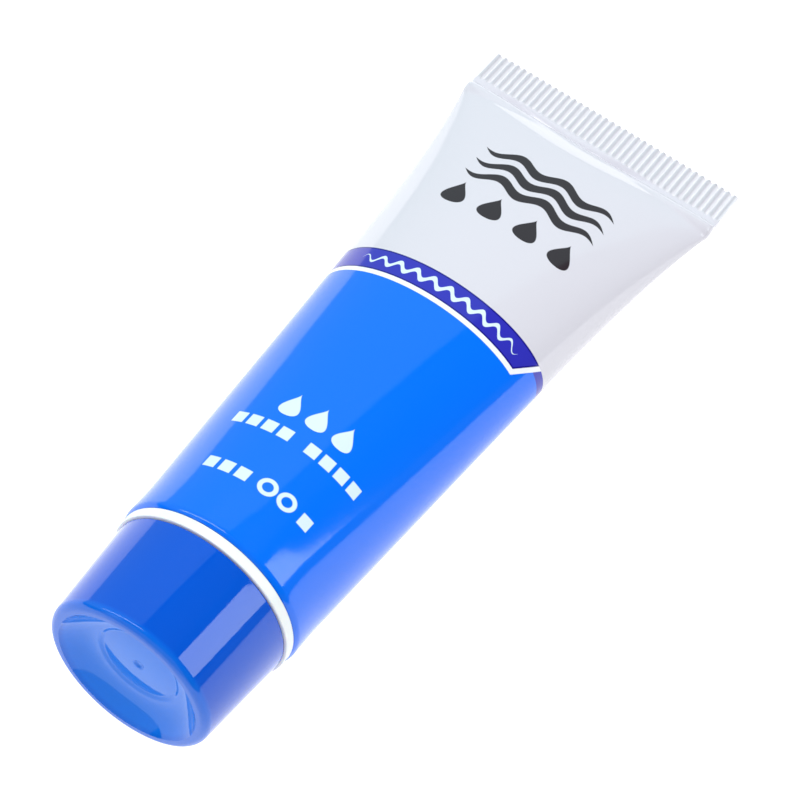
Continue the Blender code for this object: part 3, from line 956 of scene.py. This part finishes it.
boss = BORE_RADIUS + BOSS_WALL
pocket = dish(boss) - END_WALL
inside = [(0.0, CEILING)] + wall(BORE_RADIUS, CEILING, BOSS_MOUTH + 0.05)
mouth_corners = [
    (BORE_RADIUS + 0.02, BOSS_MOUTH, 0.0),
    (boss, BOSS_MOUTH, 0.15),
    (boss, pocket, 0.3),
    (skirt(pocket) - CAP_WALL, pocket, 0.3),
    (CAP_MOUTH_RADIUS - CAP_WALL, CAP_MOUTH, 0.12),
    (CAP_MOUTH_RADIUS, CAP_MOUTH, 0.14),
    (skirt(edge_start), edge_start, 0.0),
]
edge = []
for step in range(EDGE_STEPS + 1):
    lift = math.pi / 2 * step / EDGE_STEPS
    edge.append((ring_outer + CAP_EDGE * math.cos(lift), edge_start + CAP_EDGE * math.sin(lift)))
end = [(float(r), dish(r)) for r in np.linspace(ring_inner, DISC_RADIUS, DISH_ROWS)]
middle = [(float(r), disc(r)) for r in np.linspace(DISC_RADIUS, 0.0, DISC_ROWS)[1:]]
cap_profile = inside + rounded(mouth_corners)[:-1] + edge + end + middle
cap = turned("moulded_cap", cap_profile, "cap", False, cap_shape)
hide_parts("screw_cap")

# %% [markdown]
# Polypropylene from a polished mould is nearly a mirror, with a soft swirl of flow under the gloss. The
# dish and the rounded edge are painted a paler blue than the skirt: painted light, standing in for light
# that the thin end wall would let through from the white inside. Where that is follows from two measures
# of a point: its depth along the tube's axis and its distance from the axis, which vector nodes work out
# from the piece's own coordinates.

# %% Polished blue polypropylene
SKIRT_BLUE = (0.001, 0.078, 0.55)
SKIRT_SWIRL = (0.001, 0.088, 0.60)
# The next colour is painted light on the dish and the rounded edge.
PAINTED_END_LIGHT = (0.004, 0.185, 0.80)
EDGE_LIGHT_SHARE = 0.45                   # how much of the painted end light the rounded edge takes


def vector_math(tree, operation, vector, other=None):
    """One Vector Math node, whose second input may be a constant."""
    node = tree.nodes.new("ShaderNodeVectorMath")
    node.operation = operation
    tree.links.new(vector, node.inputs[0])
    if other is not None:
        node.inputs[1].default_value = other
    return node


polished, tree, shader = new_material("blue_polypropylene", 0.06, Specular_IOR_Level=0.5, IOR=1.5)
flow = calc(tree, "MULTIPLY_ADD", noise(tree, 6.0, 2.0, (1.0, 1.0, 0.4)), 0.5, 0.5, clamp=True)
skirt_colour = paint(tree, SKIRT_BLUE, SKIRT_SWIRL, flow)

place = tree.nodes.new("ShaderNodeTexCoord")
from_foot = vector_math(tree, "SUBTRACT", place.outputs["Object"], foot).outputs[0]
depth = vector_math(tree, "DOT_PRODUCT", from_foot, cap_axis).outputs["Value"]
reach = vector_math(tree, "LENGTH", from_foot).outputs["Value"]
square = calc(tree, "SUBTRACT", calc(tree, "POWER", reach, 2.0), calc(tree, "POWER", depth, 2.0))
radius = calc(tree, "SQRT", calc(tree, "MAXIMUM", square, 0.0))

# Painted light: the dish and the rounded edge are painted the paler end blue.
inside_ring = below(tree, radius, 9.6 * MM, 1.2 * MM)
dish_light_mask = both(tree, inside_ring, below(tree, 11.5 * MM, depth, 1.0 * MM))
edge_light_mask = calc(tree, "MULTIPLY", below(tree, 14.1 * MM, depth, 0.6 * MM), EDGE_LIGHT_SHARE)
feed(tree, paint(tree, skirt_colour, PAINTED_END_LIGHT, either(tree, dish_light_mask, edge_light_mask)), shader.inputs["Base Color"])
relief(tree, shader, calc(tree, "MULTIPLY", noise(tree, 3.0), 0.012))
vary_gloss(tree, shader, 0.04, 3.0)
cap.data.materials.append(polished)
print("cap finish", polished.name)

# %% [markdown]
# ## What the cap and the tube hold
#
# The foam liner sits in the cap's ceiling and carries the ring that the nozzle has pressed into it. It is a
# flat disc with one soft groove, turned like the rest, in closed-cell foam with a fine grain.

# %% Build the liner
LINER_RADIUS = BORE_RADIUS - GAP
LINER_ROWS = 30
IMPRINT = 0.08
IMPRINT_EDGE = 0.2


def liner_face(radius):
    """Depth of the liner's free face, with the nozzle's ring pressed in."""
    ring = smooth(ORIFICE_RADIUS - IMPRINT_EDGE, ORIFICE_RADIUS + IMPRINT_EDGE, radius)
    ring = ring * (1 - smooth(FOIL_RADIUS - IMPRINT_EDGE, FOIL_RADIUS + IMPRINT_EDGE, radius))
    return LINER_BASE + IMPRINT * float(ring)


liner_profile = [(float(r), liner_face(r)) for r in np.linspace(0.0, LINER_RADIUS, LINER_ROWS)]
liner_profile += [(LINER_RADIUS, LINER_BASE + LINER_THICKNESS), (0.0, LINER_BASE + LINER_THICKNESS)]
liner = turned("foam_liner", liner_profile, "liner")
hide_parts("cap_liner")

foam, tree, shader = new_material("closed_cell_foam", 0.75)
cells = calc(tree, "MULTIPLY", noise(tree, 0.25, 2.0), 0.06)
tint = calc(tree, "MULTIPLY_ADD", noise(tree, 0.5), 0.6, 0.5, clamp=True)
feed(tree, paint(tree, (0.74, 0.74, 0.72), (0.84, 0.84, 0.82), tint), shader.inputs["Base Color"])
relief(tree, shader, cells)
liner.data.materials.append(foam)
print("liner finish", foam.name)

# %% [markdown]
# The barrier cone and the cream are shut inside the tube. Their CAD solids stay as they are and only get a
# finish: a satin film with a fine grain, and a soft cream that scatters light and has a slow ripple.


# %% Finish the barrier cone and the cream
def refinish(node, material):
    """Give a CAD node a new finish."""
    mesh = frame["nodes"][node].data
    mesh.materials.clear()
    mesh.materials.append(material)
    print(node, "finish", material.name)


film, tree, shader = new_material("barrier_film", 0.38)
tint = calc(tree, "MULTIPLY_ADD", noise(tree, 1.2), 0.4, 0.5, clamp=True)
feed(tree, paint(tree, (0.70, 0.72, 0.74), (0.78, 0.80, 0.82), tint), shader.inputs["Base Color"])
relief(tree, shader, calc(tree, "MULTIPLY", noise(tree, 0.5), 0.01))
refinish("shoulder_insert", film)

cream, tree, shader = new_material("shaving_cream", 0.42, Subsurface_Weight=0.3, Subsurface_Scale=2 * MM)
tint = calc(tree, "MULTIPLY_ADD", noise(tree, 4.0), 0.5, 0.5, clamp=True)
feed(tree, paint(tree, (0.88, 0.88, 0.85), (0.93, 0.93, 0.91), tint), shader.inputs["Base Color"])
relief(tree, shader, calc(tree, "MULTIPLY", noise(tree, 2.5), 0.15))
refinish("cream", cream)

# %% [markdown]
# ## The table
#
# Product pictures of small gloss packs are often taken on a light table: white acrylic lit from below as
# well as from above. It keeps the ground white and the shadow faint, and it gives the lower sides of the
# tube their bright rims. The lamp below is in the middle, so the glow falls off with the distance from
# there.

# %% Build the table
FLOOR_SIZE = 12.0
TABLE_GLOW = 1.1
GLOW_REACH = 2.0                    # metres from the middle at which the glow has halved
floor_mesh = bpy.data.meshes.new("light_table")
half = FLOOR_SIZE / 2
floor_corners = [(-half, -half, 0), (half, -half, 0), (half, half, 0), (-half, half, 0)]
floor_mesh.from_pydata(floor_corners, [], [(0, 1, 2, 3)])
floor = bpy.data.objects.new("light_table", floor_mesh)
bpy.context.collection.objects.link(floor)
acrylic, tree, shader = new_material(
    "white_acrylic", 0.6, Emission_Color=(1.0, 1.0, 1.0, 1.0), Specular_IOR_Level=0.2
)
place = tree.nodes.new("ShaderNodeTexCoord")
span = vector_math(tree, "LENGTH", place.outputs["Object"]).outputs["Value"]
share = calc(tree, "MULTIPLY", span, 1 / GLOW_REACH)
glow = calc(tree, "DIVIDE", TABLE_GLOW, calc(tree, "MULTIPLY_ADD", share, share, 1.0))
feed(tree, glow, shader.inputs["Emission Strength"])
tint = calc(tree, "MULTIPLY_ADD", noise(tree, 40.0), 0.1, 0.5, clamp=True)
feed(tree, paint(tree, (0.34, 0.34, 0.34), (0.36, 0.36, 0.36), tint), shader.inputs["Base Color"])
floor_mesh.materials.append(acrylic)
print("table", FLOOR_SIZE, "m wide")

# %% [markdown]
# ## Lights
#
# Gloss shows its surroundings, so lights are placed by what they reflect. One wide, faintly cyan panel
# fills everything to the left, and its straight edge draws the line between the pale and the deep blue. A
# softbox on the right gives the bright window on the cap and the sleeve. Low panels on the right and in
# front lift those sides and the dished end, and a thin strip draws the line on the cap's rounded edge.
# Behind right stays dark. A last, overhead light evens out the brightness and is kept out of reflections.
# Each light is a rectangle given by a corner and two sides, since that is how its reflection is laid out.

# %% Place the lights
WHITE_LIGHT = (1.0, 1.0, 1.0)


def panel(name, corner, along, upward, radiance, in_gloss=True, in_diffuse=True, colour=WHITE_LIGHT):
    """A rectangular light from a corner and its two sides, in metres, shining towards the tube."""
    along, upward = Vector(along), Vector(upward)
    data = bpy.data.lights.new(name, "AREA")
    data.shape = "RECTANGLE"
    data.size = along.length
    data.size_y = upward.length
    data.energy = radiance * math.pi * data.size * data.size_y
    data.color = colour
    lamp = bpy.data.objects.new(name, data)
    bpy.context.collection.objects.link(lamp)
    side = along.normalized()
    away = side.cross(upward).normalized()
    middle = Vector(corner) + along / 2 + upward / 2
    if away.dot(middle) < 0:
        side = -side
        away = -away
    rotation = Matrix((side, away.cross(side), away)).transposed()
    lamp.matrix_world = Matrix.Translation(middle) @ rotation.to_4x4()
    lamp.visible_camera = False
    lamp.visible_glossy = in_gloss
    lamp.visible_diffuse = in_diffuse
    print(name, round(data.size, 3), "x", round(data.size_y, 3), "m, radiance", radiance)


# %% The left panel, placed by its edge
EDGE_DIRECTION = Vector((0.4426, 0.8967, 0.0))
EDGE_POINT = Vector((0.019, 0.378, 0.5))
EDGE_BEFORE = 1.5
EDGE_LENGTH = 4.0
LEFT_WIDTH = 2.5
LEFT_DROP = 0.49                    # its far side hangs lower
outwards = Vector((-EDGE_DIRECTION.y, EDGE_DIRECTION.x, 0.0))
panel(
    "left_panel",
    EDGE_POINT - EDGE_DIRECTION * EDGE_BEFORE,
    EDGE_DIRECTION * EDGE_LENGTH,
    outwards * LEFT_WIDTH - Vector((0.0, 0.0, LEFT_DROP)),
    0.54,
    colour=(0.64, 1.0, 1.0),
)

# %% The softbox, the low panels, the strip and the overhead light
panel("window", (0.5, 0.105, 0.16), (0.0, 0.165, -0.046), (0.0, 0.10, 0.36), 4.1, colour=(0.9, 1.0, 1.0))
panel("right_panel", (1.6, -1.4, 0.0), (-0.35, 2.3, 0.0), (0.0, 0.0, 0.28), 0.10)
panel("front_panel", (-1.6, -1.5, 0.0), (3.0, 0.0, 0.0), (0.0, 0.0, 1.6), 0.55)
panel("edge_strip", (-1.8, -0.66, 1.0), (1.7, 0.42, 0.0), (-0.03, 0.12, 0.0), 6.0, in_diffuse=False)
panel("overhead", (-1.3, -0.9, 1.6), (2.4, 0.0, 0.0), (0.0, 2.4, 0.0), 2.42, in_gloss=False)

world = bpy.data.worlds.new("studio")
world.use_nodes = True
background = world.node_tree.nodes["Background"]
background.inputs["Color"].default_value = (0.95, 0.97, 1.0, 1.0)
background.inputs["Strength"].default_value = 0.04
bpy.context.scene.world = world

# %% [markdown]
# ## The camera
#
# The view is from above and a little from the right, through a long lens, which keeps the tube's sides
# nearly parallel. The picture is shown without a film curve, so that white stays white.

# %% Place the camera
camera_data = bpy.data.cameras.new("camera")
camera_data.lens = 108.6
camera_data.sensor_width = 36.0
camera_data.clip_start = 0.01
camera = bpy.data.objects.new("camera", camera_data)
camera.location = (0.06657, -0.14733, 0.2591)
camera.rotation_euler = [math.radians(angle) for angle in (31.818, -6.557, 34.275)]
bpy.context.collection.objects.link(camera)
bpy.context.scene.camera = camera
bpy.context.scene.view_settings.view_transform = "Standard"
print("lens", camera_data.lens, "mm,", round(camera.location.length, 3), "m from the middle of the table")
